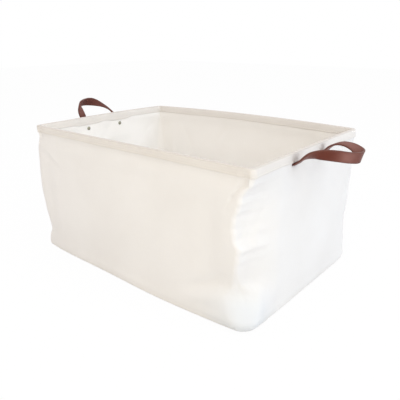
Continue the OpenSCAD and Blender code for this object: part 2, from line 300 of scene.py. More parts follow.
# %% Place a point of the wall
CORNER_REACH = 78           # how far along a wall the drift of its corner is felt
BOW_FROM, LIFT_FROM = 150, 120      # heights from which the wall follows the rim
BAND_LIFT = 9               # where a strap holds the wall, only the band rises, over this height
ROLL, ROLL_AT, ROLL_TALL = 1.2, 11, 9       # the cloth puffs out above the base seam
TUCK, TUCK_TALL = 1.6, 4                    # and turns under at its foot


def wall_point(side_no, share, z, across):
    """Points (millimetres) and outward directions on one side of the bin.
    share runs from -1 to 1 between the middles of the two corners."""
    share, z, across = np.broadcast_arrays(*(np.asarray(v, float) for v in (share, z, across)))
    shape = share.shape
    share, z, across = share.ravel(), z.ravel(), across.ravel()
    half, reach = HALF[side_no], REACH[side_no]
    first = smooth_rows(CORNERS[START[side_no]], z)
    last = smooth_rows(CORNERS[END[side_no]], z)
    radius = np.where(share < 0, first[:, 0], last[:, 0])
    flat = half - radius
    run = np.abs(share) * (flat + radius * math.pi / 4)
    angle = np.clip((run - flat) / radius, 0, None)
    sign = np.where(share < 0, -1.0, 1.0)
    along = np.where(angle > 0, flat + radius * np.sin(angle), run) * sign
    out = reach - np.where(angle > 0, radius * (1 - np.cos(angle)), 0)
    normal = (np.sin(angle) * sign)[:, None] * ALONG[side_no] + np.cos(angle)[:, None] * OUT[side_no]
    place = along[:, None] * ALONG[side_no] + out[:, None] * OUT[side_no]
    for table, where in ((first, -1), (last, 1)):
        near = ease(1 - (half - where * along) / CORNER_REACH)[:, None]
        place = place + near * table[:, 1:3]
    side = SIDES[side_no]
    bow_out, bow_up = rim_bow(side, along)
    out = (fold_depth(side, along, z) + foot_lean(side, along, z) - drawn_in(side, along, z)
           + bow_out * ease((z - BOW_FROM) / (RIM_FOOT - BOW_FROM)))
    corner = math.cos(math.pi / 4)
    fade = np.clip((np.cos(angle) - corner) / (1 - corner), 0, 1)
    place = place + (out * fade)[:, None] * OUT[side_no]
    foot = ROLL * np.exp(-((z - ROLL_AT) / ROLL_TALL) ** 2) - TUCK * ease(1 - z / TUCK_TALL) ** 2
    place = place + normal * (across + foot)[:, None]
    held = strap_hold(side, along)
    lift = ((1 - held) * ease((z - LIFT_FROM) / (RIM_FOOT - LIFT_FROM))
            + held * ease((z - RIM_FOOT) / BAND_LIFT))
    high = z + bow_up * lift
    return (np.column_stack([place, high]).reshape(shape + (3,)),
            np.column_stack([normal, np.zeros(len(z))]).reshape(shape + (3,)))


USUAL_ROUND = 10            # a usual corner's radius, which sets how the columns are spread
CLOSE_UP = 40               # the last stretch, where the columns stand closer together


def side_shares(side_no, step=4.0, past=0.0):
    """Shares along one side, closer together round the corners, and a little past them if asked."""
    full = HALF[side_no] - USUAL_ROUND + USUAL_ROUND * math.pi / 4
    middle = np.arange(0, full - CLOSE_UP, step)
    corner = full + past - (CLOSE_UP + past) * np.linspace(1, 0, 30) ** 1.6
    run = np.concatenate([middle, corner]) / full
    return np.concatenate([-run[:0:-1], run])


print("columns along a long side:", len(side_shares(0)))

# %% [markdown]
# ## Meshes from grids
# Most pieces here are grids of points, so one helper turns a grid into a mesh.
# It also writes a UV map in metres along and up the cloth. The weave is drawn
# in that map, so its threads run true along each cut, bend with it, and are as
# wide as real threads.

# %% Turn grids into cloth
def put_in_scene(name, data):
    """A mesh, a camera or a lamp as an object in the scene."""
    made = bpy.data.objects.new(name, data)
    bpy.context.scene.collection.objects.link(made)
    return made


def new_piece(name, mesh):
    """A finished mesh as a piece of the bin, shaded smooth."""
    mesh.shade_smooth()
    mesh.validate()
    return put_in_scene(name, mesh)


def grid_mesh(name, points, uv, closed_rows=False, skip=None):
    """points is rows x columns x 3 in millimetres; uv is rows x columns x 2 in millimetres."""
    rows, columns = points.shape[:2]
    mesh = bpy.data.meshes.new(name)
    faces, corners = [], []
    last_row = rows if closed_rows else rows - 1
    for i in range(last_row):
        below = (i + 1) % rows
        for j in range(columns - 1):
            if skip is not None and skip(i, j):
                continue
            faces.append((i * columns + j, i * columns + j + 1,
                          below * columns + j + 1, below * columns + j))
            corners += [(i, j), (i, j + 1), (i + 1, j + 1), (i + 1, j)]
    mesh.from_pydata((points.reshape(-1, 3) * MM).tolist(), [], faces)
    layer = mesh.uv_layers.new(name="cloth")
    uv_full = np.concatenate([uv, uv[:1]]) if closed_rows and len(uv) == rows else uv
    flat = np.array([uv_full[i, j] for i, j in corners]) * MM
    layer.data.foreach_set("uv", flat.ravel())
    return new_piece(name, mesh)


def keep_value(piece, key, values):
    """Keep one number for each point of the mesh, for a finish to read."""
    piece.data.attributes.new(key, "FLOAT", "POINT").data.foreach_set("value", values)


def thicken(piece, thickness):
    """A cut of cloth has a thickness, which Solidify gives to both sides of the grid."""
    solid = piece.modifiers.new("cloth thickness", "SOLIDIFY")
    solid.thickness, solid.offset = thickness * MM, 0
    solid.use_even_offset = True
    return piece


print("grid helper ready")

# %% [markdown]
# ## The outer canvas
# Four cuts of canvas are sewn together down the middle of each corner, right
# sides together, so all that shows outside is a fine groove where the cloth
# turns in. Each cut is a grid that follows the wall, with its last columns
# pulled in to make that groove, and its foot turned under to meet the base.

# %% Cut a wall
SLIT_HALF = 9.2
SLIT_LOW, SLIT_HIGH, STRAP_Z = 231.9, 236.6, 234.0
COLUMN_GAP = .004           # columns nearer than this share to a slit's edge give way to it
SLIT_ENDS = [y + way * SLIT_HALF for y in STRAP_Y for way in (-1, 1)]
# rows of the grid, close together where the foot turns under and at the slits
HEIGHTS = np.concatenate([[0.7, 1.2, 2.2, 3.6, 5.5, 8], np.arange(11.5, 226, 3.0),
                          [228.5, SLIT_LOW, SLIT_HIGH, 240, WALL_TOP]])


def share_at(side_no, along):
    """The share of the way to the corner's middle for a distance along a side near the rim."""
    table = START if along < 0 else END
    radius = smooth_rows(CORNERS[table[side_no]], [STRAP_Z])[0, 0]
    return along / (HALF[side_no] - radius + radius * math.pi / 4)


SEAM_SHARE = .003           # the last share of a side, which turns in to the seam
SEAM_LAP = .25              # how far two cuts run past the corner's middle, into each other


def seam_pull(shares, groove):
    """The last columns turn in, so that two cuts meet in a groove; below zero they turn out."""
    edge = np.clip((np.abs(shares) - (1 - SEAM_SHARE)) / SEAM_SHARE, 0, 1.1)
    return -groove * edge ** 2


def hang_wall(name, side_no, across, groove, heights, slits=False):
    """One wall of cloth as a grid, with columns along the edges of the slits if it has them."""
    shares = side_shares(side_no, past=SEAM_LAP)
    cuts = []
    if slits:
        y_to_along = ALONG[side_no][1]
        cuts = sorted(share_at(side_no, y * y_to_along) for y in SLIT_ENDS)
        shares = np.unique(np.concatenate([shares, cuts]))
        keep = [all(abs(s - c) > COLUMN_GAP or s in cuts for c in cuts) for s in shares]
        shares = shares[np.array(keep)]
    lift = across + seam_pull(shares, groove)
    points, _ = wall_point(side_no, shares[None, :], heights[:, None], lift[None, :])
    half = HALF[side_no]
    uv = np.stack(np.broadcast_arrays(shares[None, :] * half, heights[:, None]), -1)

    def in_slit(i, j):
        if not SLIT_LOW - .01 <= heights[i] < SLIT_HIGH - .01:
            return False
        middle = (shares[j] + shares[j + 1]) / 2
        return cuts[0] < middle < cuts[1] or cuts[2] < middle < cuts[3]

    return grid_mesh(name, points, uv, skip=in_slit if slits else None)


print("rows up a wall:", len(HEIGHTS))

# %% [markdown]
# The most bulging corner, at the front right, is painted a little greyer near
# the floor: painted shade that tones down the light on its bulge. How much is
# kept with each point of the cloth, and the canvas finish reads it.

# %% Hang the outer canvas
TOE_SHADE_X, TOE_SHADE_Y = 58, 45           # how far the painted shade reaches along each wall
TOE_SHADE_HIGH, TOE_SHADE_SOFT = 32, 38     # how high it is at full strength, and how it fades above


def toe_painted_shade(spot):
    """Painted shade on the bulge at the foot of the front right corner, which greys it a little."""
    away = ((PATH[0] - spot.x) / TOE_SHADE_X) ** 2 + ((spot.y + PATH[1]) / TOE_SHADE_Y) ** 2
    return float(math.exp(-away) * (1 - ease((spot.z - TOE_SHADE_HIGH) / TOE_SHADE_SOFT)))


canvas_pieces, lining_pieces = [], []
for side_no, side in enumerate(SIDES):
    wall = hang_wall(f"canvas_{side}", side_no, OUTER_AT, .14, HEIGHTS,
                     slits=side in ("left", "right"))
    thicken(wall, CANVAS)
    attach(wall, "bin")
    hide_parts(f"outer_{side}_panel")
    # painted shade greys the bulge at the foot of the front right corner
    keep_value(wall, "painted_shade", [toe_painted_shade(v.co / MM) for v in wall.data.vertices])
    canvas_pieces.append(wall)

# %% [markdown]
# ## The lining
# The lining is a second, slightly smaller bag inside the first, sewn wrong
# sides out, so its corner seams show as fine grooves too. It is the same kind
# of grid, hung on the inner side of the wall and ending just above the board.

# %% Hang the lining
LINING_FOOT, LINING_LESS = 4.9, 3       # where it ends, and how much smaller each edge is cut
LINING_HEIGHTS = np.concatenate([[LINING_FOOT, 6.5, 9], HEIGHTS[HEIGHTS > 11]])
for side_no, side in enumerate(SIDES):
    wall = hang_wall(f"lining_wall_{side}", side_no, LINING_AT, -.2, LINING_HEIGHTS)
    thicken(wall, LINING)
    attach(wall, "bin")
    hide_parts(f"lining_{side}_panel")
    lining_pieces.append(wall)

# %% [markdown]
# ## The two base cuts
# Under the board lies the outer base, flat because the bin stands on it. Over
# the board lies the lining's base, which is loose enough to ripple. Both are
# made as rings that shrink from the foot of the walls to a line along the
# middle, so that their edges meet the walls at every corner. On that line the
# last ring's two halves fall together, and their doubled points are welded.

# %% Lay the base cuts
RING_SHARES = (0, .004, .012, .03, .06, .12, .2, .3, .42, .55, .7, .85, 1)
MIDDLE_STEP = 10            # spacing of the points on the middle line
BASE_Z, FLOOR_Z, FLOOR_RIPPLE = .6, 4.7, 1.5


def base_sheet(name, z, across, ripple):
    """A base cut whose edge is the foot of the walls, and which ripples by so many millimetres."""
    edge = []
    for side_no in range(4):
        shares = side_shares(side_no, 12.0)[:-1]
        foot = np.full(len(shares), max(z, HEIGHTS[0]))
        points, _ = wall_point(side_no, shares, foot, across)
        edge.append(points)
    edge = np.concatenate(edge)
    edge = np.concatenate([edge, edge[:1]])
    edge[:, 2] = z
    line_end = HALF[0] - HALF[1]
    spine = edge.copy()
    spine[:, 0] = np.round(np.clip(edge[:, 0], -line_end, line_end) / MIDDLE_STEP) * MIDDLE_STEP
    spine[:, 1] = 0
    rows = []
    for t in RING_SHARES:
        ring = edge + (spine - edge) * t
        rise = ripple * ease(t / .12) * (np.sin(ring[:, 0] / 37 + 1) * np.sin(ring[:, 1] / 29 + 2)
                                         + .5 * np.sin((ring[:, 0] + ring[:, 1]) / 19) + 1.2) / 2.4
        ring[:, 2] = z + rise
        rows.append(ring)
    points = np.stack(rows)
    piece = grid_mesh(name, points, points[:, :, :2])
    cut = bmesh.new()
    cut.from_mesh(piece.data)
    bmesh.ops.remove_doubles(cut, verts=cut.verts, dist=.01 * MM)
    cut.to_mesh(piece.data)
    cut.free()
    return piece


canvas_base = thicken(base_sheet("canvas_base", BASE_Z, OUTER_AT, 0), CANVAS)
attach(canvas_base, "bin")
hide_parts("outer_base_panel")
lining_floor = thicken(base_sheet("lining_floor", FLOOR_Z, LINING_AT, FLOOR_RIPPLE), LINING)
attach(lining_floor, "bin")
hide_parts("lining_base_panel")
canvas_pieces.append(canvas_base)
lining_pieces.append(lining_floor)
print("base cuts have", len(canvas_base.data.polygons), "faces each")

# %% [markdown]
# ## The rim band and the wire in it
# A strip of canvas is folded over the top of both layers and sewn through them
# close to its lower edges, and the wire lies in the fold. Its section is drawn
# once, as a loop that goes up the outside, over the wire, down the inside and
# back, and is swept round the rim. The loop dips where the stitches pull it
# in and puffs out above and below them, as a sewn hem does.

# %% Fold the band over the rim
STITCH_Z = RIM_FOOT + 2.8
SHOULDER = 2.1              # radius of the two shoulders of the fold


def band_section():
    """(across, height) pairs, up the outside and back along the inner face of the cloth."""
    up = [(2.95, RIM_FOOT), (3.35, RIM_FOOT - .15), (3.8, RIM_FOOT + .35), (3.95, RIM_FOOT + 1.3),
          (3.5, STITCH_Z), (3.9, STITCH_Z + 1.4), (3.95, STITCH_Z + 3.4), (3.85, BEAD_Z)]
    arc = [(math.copysign(BAND_OUT - SHOULDER, math.cos(a)) + SHOULDER * math.cos(a),
            RIM_TOP + SHOULDER * (math.sin(a) - 1) - (.15 if 60 < math.degrees(a) < 120 else 0))
           for a in np.radians([0, 22, 45, 67, 89, 91, 113, 135, 158, 180])]
    back_arc = [(BAND_IN * math.cos(a), BEAD_Z + BAND_IN * math.sin(a))
                for a in np.radians(np.arange(180, -1, -20))]
    down = [(-a, z) for a, z in reversed(up)]
    return up + arc + down + [(-BAND_IN, STITCH_Z)] + back_arc + [(BAND_IN, STITCH_Z)]


def round_rim(across, height, step=5.0):
    """Rows of points round the rim, one for each (across, height), and how far along each is."""
    blocks, lengths, start = [], [], 0.0
    for side_no in range(4):
        shares = side_shares(side_no, step)[:-1]
        points, _ = wall_point(side_no, shares[None, :], np.asarray(height)[:, None],
                               np.asarray(across)[:, None])
        blocks.append(points)
        lengths.append(start + (shares + 1) * HALF[side_no])
        start += 2 * HALF[side_no]
    points = np.concatenate(blocks, axis=1)
    points = np.concatenate([points, points[:, :1]], axis=1)
    return points, np.append(np.concatenate(lengths), start)


across, height = np.array(band_section()).T
band_points, band_run = round_rim(across, height)
# the lower edges wander a little up and down, but not where the strip's ends meet
wander = np.sin(band_run / 41) + .6 * np.sin(band_run / 17 + 1) + .5 * np.sin(band_run / 9 + 2)
wander *= .35 * (1 - np.abs(np.linspace(-1, 1, len(band_run))) ** 40)
low_edge = ease((STITCH_Z + .5 - height) / 2.5)
band_points[:, :, 2] += low_edge[:, None] * wander[None, :]
around = np.concatenate([[0], np.cumsum(np.hypot(np.diff(across), np.diff(height)))])
band_uv = np.stack(np.broadcast_arrays(band_run[None, :], around[:, None]), -1)
rim_band = grid_mesh("rim_band", band_points, band_uv, closed_rows=True)
# painted shade along the top of the fold, where the lamps light it most
top_shade = ease((height - (RIM_TOP - 2.4)) / 2)
keep_value(rim_band, "painted_shade", np.repeat(top_shade, band_points.shape[1]))
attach(rim_band, "bin")
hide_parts("rim_binding")

# %% [markdown]
# The wire follows the soft rim, so it bends with it. It is a tube swept round
# the same path, and the crimp sleeve that joins its ends is a short, wider one
# at the middle of the back.

# %% Run the wire through the band
WIRE_RADIUS, SLEEVE_RADIUS, SLEEVE_LONG = 2.0, 2.55, 32
wire_low, wire_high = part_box("rim_wire")
WIRE_Z = (wire_low.z + wire_high.z) / 2 / MM


def tube_round_rim(name, radius, side_no=None, length=None):
    """A tube along the whole rim, or a short one at the middle of one side."""
    turn = np.linspace(0, 2 * math.pi, 10, endpoint=False)
    across, height = radius * np.cos(turn), WIRE_Z + radius * np.sin(turn)
    if length is None:
        points, run = round_rim(across, height)
    else:
        run = np.linspace(-length / 2, length / 2, 9)
        points, _ = wall_point(side_no, run[None, :] / HALF[side_no], height[:, None],
                               across[:, None])
    uv = np.stack(np.broadcast_arrays(run[None, :], (turn * radius)[:, None]), -1)
    return grid_mesh(name, points, uv, closed_rows=True)


hem_wire = tube_round_rim("hem_wire", WIRE_RADIUS)
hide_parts("rim_wire")
hem_sleeve = tube_round_rim("hem_sleeve", SLEEVE_RADIUS, SIDES.index("back"), SLEEVE_LONG)
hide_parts("wire_sleeve")
for piece in (hem_wire, hem_sleeve):
    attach(piece, "bin")
print("wire and sleeve run")

# %% [markdown]
# ## Stitches
# The band is sewn on with one row of lockstitch that shows on both faces, and
# the outer base is joined to the walls by a row close above the foot. Each
# stitch is a tiny bowed sausage of thread, sunk at both ends where it goes
# through the cloth. Every row is one mesh, made from one small pattern.

# %% Sew the rows
STITCH_LONG, STITCH_PITCH, THREAD_RADIUS, THREAD_SIDES = 3.2, 4.0, .34, 6
RIM_ROW_AT = 3.62                       # across the wall, where the thread lies on the band
SEAM_ROW_Z, SEAM_ROW_AT = 4.6, 2.55     # height and place of the row at the base seam
# rings of one stitch: the share of its length, the lift out of the cloth, the share of its radius
STITCH_RINGS = ((-.5, -.32, .55), (-.38, .02, .9), (-.16, .2, 1), (.16, .2, 1), (.38, .02, .9),
                (.5, -.32, .55))


def tube_faces(rings, sides, first=0):
    """The faces of a tube made of rings of points, closed at both ends."""
    faces = []
    for i in range(rings - 1):
        for j in range(sides):
            k = (j + 1) % sides
            faces.append((first + i * sides + j, first + i * sides + k,
                          first + (i + 1) * sides + k, first + (i + 1) * sides + j))
    faces.append(tuple(first + j for j in range(sides))[::-1])
    faces.append(tuple(first + (rings - 1) * sides + j for j in range(sides)))
    return faces


def sew_row(name, spots, directions, outs):
    """One mesh of stitches: spots, unit directions along and out of the cloth, in millimetres."""
    vertices, faces = [], []
    turn = np.linspace(0, 2 * math.pi, THREAD_SIDES, endpoint=False)
    for spot, along, out in zip(spots, directions, outs):
        faces += tube_faces(len(STITCH_RINGS), THREAD_SIDES, len(vertices))
        side = np.cross(along, out)
        for at, lift, wide in STITCH_RINGS:
            middle = spot + along * at * STITCH_LONG + out * lift
            for a in turn:
                vertices.append(middle + THREAD_RADIUS * wide
                                * (math.cos(a) * side + math.sin(a) * out))
    mesh = bpy.data.meshes.new(name)
    mesh.from_pydata([tuple(v * MM) for v in vertices], [], faces)
    piece = new_piece(name, mesh)
    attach(piece, "bin")
    print(name, "has", len(spots), "stitches")
    return piece


def row_round_wall(height, across):
    """Evenly spaced spots round the wall, with the way along and the way out at each."""
    spots, directions, outs = [], [], []
    for side_no in range(4):
        count = int(2 * HALF[side_no] / STITCH_PITCH)
        shares = (np.arange(count) + .5) / count * 2 - 1
        here, normal = wall_point(side_no, shares, height, across)
        ahead, _ = wall_point(side_no, shares + 1e-3, height, across)
        along = ahead - here
        spots.append(here)
        directions.append(along / np.linalg.norm(along, axis=1)[:, None])
        outs.append(normal * math.copysign(1, across))
    return np.concatenate(spots), np.concatenate(directions), np.concatenate(outs)


threads = [sew_row("rim_stitches_outside", *row_round_wall(STITCH_Z, RIM_ROW_AT)),
           sew_row("rim_stitches_inside", *row_round_wall(STITCH_Z, -RIM_ROW_AT)),
           sew_row("base_seam_stitches", *row_round_wall(SEAM_ROW_Z, SEAM_ROW_AT))]

# %% [markdown]
# ## The leather straps
# Each strap is one strip of leather from end to end. Its ends are pared thin
# and riveted between the two layers of cloth, turn out through a slit just
# under the band, and the strip between them stands out in a twisted loop. It
# is swept through a few stations, each a point and the direction in which the
# leather's width points.

# %% Set out the loops
BEND = (251.9, 234.1)         # the line that a loop swings on: out along x, and height
TAB_X = 245.6                 # the middle of the pared tab, between the two layers
STRAP_WIDE, STRAP_THICK, PARED = 17.0, 3.2, 1.6
# a station's point as shares of the loop's reach, half span and rise; the width's direction
RIGHT_LOOP = [((0, -1, 0), (0, 1, 0)), ((.13, -1.07, .38), (0, 1, 0)),
              ((.32, -1.05, .79), (.2, .8, -.55)), ((.52, -.94, .9), (-.15, .25, -.95)),
              ((.71, -.72, .85), (0, .05, -1)), ((.9, -.37, .7), (-.05, .05, -1)),
              ((1, 0, .6), (-.1, 0, -1)), ((.97, .35, .6), (-.3, -.15, -.9)),
              ((.82, .65, .81), (-.5, -.7, -.45)), ((.61, .82, 1), (-.4, -.88, -.2)),
              ((.37, .92, .98), (-.25, -.95, -.1)), ((.16, 1, .62), (-.05, -1, 0)),
              ((0, 1, 0), (0, -1, 0))]
LEFT_LOOP = [((0, -1, 0), (0, 1, 0)), ((.08, -1.09, .36), (.15, 1, .05)),
             ((.14, -1.17, .67), (.24, .95, -.2)), ((.23, -1.12, .92), (.6, .65, -.45)),
             ((.44, -.93, 1), (.68, .35, -.6)), ((.78, -.58, 1), (.5, .1, -.85)),
             ((.98, -.16, .97), (.1, 0, -.98)), ((1, .21, .9), (-.4, -.2, -.85)),
             ((.84, .58, .74), (-.8, -.48, -.4)), ((.58, .86, .52), (-.88, -.5, -.12)),
             ((.27, .98, .27), (-.62, -.78, .04)), ((0, 1, 0), (0, -1, 0))]
print("stations:", len(RIGHT_LOOP), "in the right loop,", len(LEFT_LOOP), "in the left")

# %% [markdown]
# The loop is a spline that passes through every station. One more station is
# made up behind each end, in line with the way the leather leaves the wall. The
# width's direction follows the same spline, and is squared up against the
# strip's run at every ring, so that the strip twists but never shears.

# %% Run a spline through the stations
RINGS_BETWEEN = 10          # rings from one station to the next
LEAD = .74                  # how far behind the made-up stations lie, in half spans


def unit(v):
    """The same direction with a length of 1."""
    return v / np.linalg.norm(v)


def loop_rings(stations, reach, rise, leave):
    """(point, along, width) on a smooth curve through the stations. The loop is reach long and
    rise high, and leaves the wall at an angle of leave degrees."""
    spread = [(np.array(p) * (reach, HALF_SPAN, rise), np.array(w, float)) for p, w in stations]
    a = math.radians(leave)
    lead = LEAD * HALF_SPAN * np.array([math.cos(a), 0, math.sin(a)])
    points = [spread[1][0] - lead] + [p for p, w in spread] + [spread[-2][0] - lead]
    widths = [spread[0][1]] + [w for p, w in spread] + [spread[-1][1]]
    rings = []
    for i in range(1, len(points) - 2):
        near_points, near_widths = np.array(points[i - 1:i + 3]), np.array(widths[i - 1:i + 3])
        for k in range(RINGS_BETWEEN + (i == len(points) - 3)):
            t = k / RINGS_BETWEEN
            blend = .5 * np.array([-t + 2 * t * t - t ** 3, 2 - 5 * t * t + 3 * t ** 3,
                                   t + 4 * t * t - 3 * t ** 3, -t * t + t ** 3])
            slope = .5 * np.array([-1 + 4 * t - 3 * t * t, -10 * t + 9 * t * t,
                                   1 + 8 * t - 9 * t * t, -2 * t + 3 * t * t])
            along, wide = unit(slope @ near_points), blend @ near_widths
            rings.append((blend @ near_points, along, unit(wide - along * (wide @ along))))
    return rings


print("rings in a loop:", (len(RIGHT_LOOP) - 1) * RINGS_BETWEEN + 1)

# %% [markdown]
# The strip's section is a flat bar with its cut edges rubbed round. Its ends
# stand between the two layers of cloth, pared to half their thickness, and turn
# out through the slits, where the leather is as thick as in the loop.

# %% Draw the section and the tabs
def leather_section(half_wide, half_thick):
    """A flat strip with its cut edges worn round; each point has how near the edge it is."""
    r = min(half_thick, 1.25)
    half = [(a * half_wide, half_thick * (1 - .1 * a * a), near) for a, near in
            ((-.86, .55), (-.6, .12), (-.3, 0), (0, 0), (.3, 0), (.6, .12), (.86, .55))]
    half += [(half_wide - r + r * math.cos(t), half_thick * .92 * math.sin(t), 1)
             for t in np.radians([60, 20, -20, -60])]
    return half + [(-a, -b, near) for a, b, near in half]


# the pared tab: height from the bend line, and share of the strap's width
TAB = ((-18.6, .55), (-18, .8), (-16.6, .95), (-14.5, 1), (-10, 1), (-5, 1), (-1, 1), (.4, 1))
TURN_IN, TURN_UP = 2.4, 2.2     # how the leather turns from the tab out through the slit


def strap_rings(stations, reach, rise, leave):
    """The whole strip: tab, turn, loop, turn, tab, as (point, along, width, thick, wide)."""
    def ring(x, z, degrees, thick=STRAP_THICK, wide=1):
        a = math.radians(degrees)
        return (np.array([x, -HALF_SPAN, z]), np.array([math.cos(a), 0, math.sin(a)]),
                np.array([0, 1., 0]), thick, wide)

    tab_x = TAB_X - BEND[0]
    rings = [ring(tab_x, z, 90, PARED, wide) for z, wide in TAB]
    for turn in (30, 60):
        t = math.radians(turn)
        rings.append(ring(tab_x + TURN_IN * (1 - math.cos(t)), TURN_UP * (math.sin(t) - 1),
                          90 - turn, PARED + (STRAP_THICK - PARED) * turn / 90))
    rings += [ring(-3.4, 0, 0), ring(-2.2, 0, 0), ring(-.9, .12, leave / 2)]
    loop = loop_rings(stations, reach, rise, leave)[1:-1]
    mirror = np.array((1, -1, 1))
    ends = [(point * mirror, -along * mirror, -width, thick, wide)
            for point, along, width, thick, wide in reversed(rings)]
    return rings + [(*place, STRAP_THICK, 1) for place in loop] + ends


print("points round the section:", len(leather_section(1, 1)))

# %% [markdown]
# Sweeping the section through the rings gives the strip. Its points keep what
# the finish asks about: how near the cut edge they are, on which side, and how
# much painted highlight lies there.

# %% Sweep the straps
def highlight_along(rings, highlight_patches):
    """How much painted highlight each ring has, from 0 to 1; a patch is (place, spread, strength).
    """
    places = np.array([ring[0] for ring in rings])
    run = np.concatenate([[0], np.cumsum(np.linalg.norm(np.diff(places, axis=0), axis=1))])
    return sum(strength * np.exp(-((run / run[-1] - place) / spread) ** 2)
               for place, spread, strength in highlight_patches)


def make_strap(name, side, stations, reach, rise, leave, highlight_patches):
    """One strap, for side 1 (right) or -1 (left), with its values for the finish."""
    rings = strap_rings(stations, reach, rise, leave)
    vertices, near_edge, flesh, painted_highlight, flat, run = [], [], [], [], [], 0.0
    last = rings[0][0]
    for (point, along, wide_way, thick, wide), highlight_share in zip(rings, highlight_along(rings, highlight_patches)):
        face_way = np.cross(along, wide_way)
        run += np.linalg.norm(point - last)
        last = point
        section = leather_section(STRAP_WIDE / 2 * wide, thick / 2)
        for a, b, near in section:
            x, y, z = point + a * wide_way + b * face_way
            vertices.append(((BEND[0] + x) * side * MM, (STRAP_MID + y) * MM, (BEND[1] + z) * MM))
            near_edge.append(near)
            flesh.append(1.0 if b > 0 and near < 1 else 0.0)
            painted_highlight.append(highlight_share)
            flat.append((run * MM, a * MM))
    faces = [face[::side] for face in tube_faces(len(rings), len(section))]
    mesh = bpy.data.meshes.new(name)
    mesh.from_pydata(vertices, [], faces)
    layer = mesh.uv_layers.new(name="cloth")
    for loop in mesh.loops:
        layer.data[loop.index].uv = flat[loop.vertex_index]
    piece = new_piece(name, mesh)
    for key, values in (("edge", near_edge), ("flesh", flesh), ("painted_highlight", painted_highlight)):
        keep_value(piece, key, values)
    print(name, "is", round(run), "mm from end to end")
    return piece


# zones of painted highlight along each loop: (place, spread, strength) as shares of its length
right_strap = make_strap("right_strap", 1, RIGHT_LOOP, 75.5, 21.0, 45,
                         [(.17, .04, .5), (.415, .06, 1), (.7, .13, .9)])
left_strap = make_strap("left_strap", -1, LEFT_LOOP, 32.0, 44.6, 76,
                        [(.26, .06, .7), (.85, .06, .5)])
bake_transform(right_strap)
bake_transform(left_strap)
for side, strap in (("left", left_strap), ("right", right_strap)):
    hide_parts(f"{side}_strap_ends", f"{side}_strap_loop")

# %% [markdown]
# ## Tools for the finishes
# Every finish is a small graph of nodes that ends in one surface. With these
# helpers a line of code adds a node, joins it to the ones before it and sets
# its values, so that a finish reads like a recipe.

# %% Lay out the tools
def feed(tree, socket, value):
    """Join an input to the output that feeds it, or set it to a value."""
    if isinstance(value, bpy.types.NodeSocket):
        tree.links.new(value, socket)
    else:
        socket.default_value = value


def add(tree, kind, *in_order, **settings):
    """A new shader node. A setting is one of its choices, or what feeds the input of that name,
    with "_" for a space. What is given without a name feeds the inputs in their order."""
    node = tree.nodes.new("ShaderNode" + kind)
    for key, value in settings.items():
        socket = node.inputs.get(key.replace("_", " "))
        if socket is None:
            setattr(node, key, value)
        else:
            feed(tree, socket, value)
    for socket, value in zip(node.inputs, in_order):
        feed(tree, socket, value)
    return node


def mix(tree, share, first, second):
    """A colour between two others, by a share from 0 to 1."""
    return add(tree, "Mix", data_type="RGBA", Factor=share, A=first, B=second).outputs["Result"]


def new_material(name, build):
    """A material; build adds its nodes and returns the one that makes its surface."""
    material = bpy.data.materials.new(name)
    material.use_nodes = True
    material.node_tree.nodes.clear()
    surface = build(material.node_tree)
    add(material.node_tree, "OutputMaterial", surface.outputs[0])
    return material


def colour_of(red, green, blue):
    """Straight display numbers, 0 to 255, as the light that a shader needs."""
    def line(v):
        v /= 255
        return v / 12.92 if v <= .04045 else ((v + .055) / 1.055) ** 2.4
    return line(red), line(green), line(blue), 1.0


print("a pale grey as light:", tuple(round(v, 3) for v in colour_of(200, 200, 200)))

# %% [markdown]
# ## The canvas finish
# Canvas is a plain weave: each thread goes over one and under the next. Two
# sets of soft bands, one for each direction of thread, take turns on top in a
# chequer, and drive the bump. Slubs, where a thread is thicker, are noise drawn
# out along the threads. The low parts of the weave are painted a little darker,
# as painted shade, and noise mottles the tone. The colour varies only a little,
# since the cloth is new. A value kept with the mesh greys it as painted shade:
# along the top of the band, and at the bulging corner's foot.

# %% Mix the canvas
def weave_material(name, light, dark, thread, depth, shade_colour=None):
    """Plain weave with threads of this width and relief (mm); the last colour, if given, is the
    painted shade's colour.
    """
    scale = 1 / (thread * MM)

    def build(tree):
        place = add(tree, "UVMap", uv_map="cloth").outputs[0]
        over, slubs = [], []
        for way, along_x, along_y in (("X", .9, .05), ("Y", .05, .9)):
            bands = add(tree, "TexWave", wave_type="BANDS", bands_direction=way,
                        wave_profile="SIN", Vector=place, Scale=scale * math.pi / 10,
                        Distortion=0.0)
            drawn_out = add(tree, "Mapping", Vector=place,
                            Scale=(scale * along_x, scale * along_y, 1))
            slub = add(tree, "TexNoise", Vector=drawn_out.outputs[0], Scale=1.0, Detail=2.0)
            over.append(bands.outputs["Fac"])
            slubs.append(slub.outputs["Fac"])
        turns = add(tree, "TexChecker", Vector=place, Scale=scale)
        weave = add(tree, "Mix", data_type="FLOAT", Factor=turns.outputs["Fac"],
                    A=over[0], B=over[1])
        both = add(tree, "Math", *slubs, operation="ADD")
        relief = add(tree, "Math", both.outputs[0], .5, weave.outputs["Result"],
                     operation="MULTIPLY_ADD").outputs[0]
        bump = add(tree, "Bump", Strength=1.0, Distance=depth * MM, Height=relief)
        where = add(tree, "NewGeometry").outputs["Position"]
        mottle = add(tree, "TexNoise", Vector=where, Scale=9.0, Detail=4.0)
        # painted shade: the low parts of the weave are a little darker, and noise mottles the tone
        shade = add(tree, "Math", relief, .35, mottle.outputs["Fac"], operation="MULTIPLY_ADD")
        share = add(tree, "MapRange", Value=shade.outputs[0], From_Min=.35, From_Max=1.25)
        colour = mix(tree, share.outputs["Result"], dark, light)
        # painted shade: the value kept with the mesh mixes in the last colour
        if shade_colour:
            painted_shade = add(tree, "Attribute", attribute_name="painted_shade")
            colour = mix(tree, painted_shade.outputs["Fac"], colour, shade_colour)
        return add(tree, "BsdfPrincipled", Base_Color=colour, Normal=bump.outputs[0],
                   Roughness=.9, Sheen_Weight=.15, Sheen_Roughness=.5, Specular_IOR_Level=.2)

    return new_material(name, build)
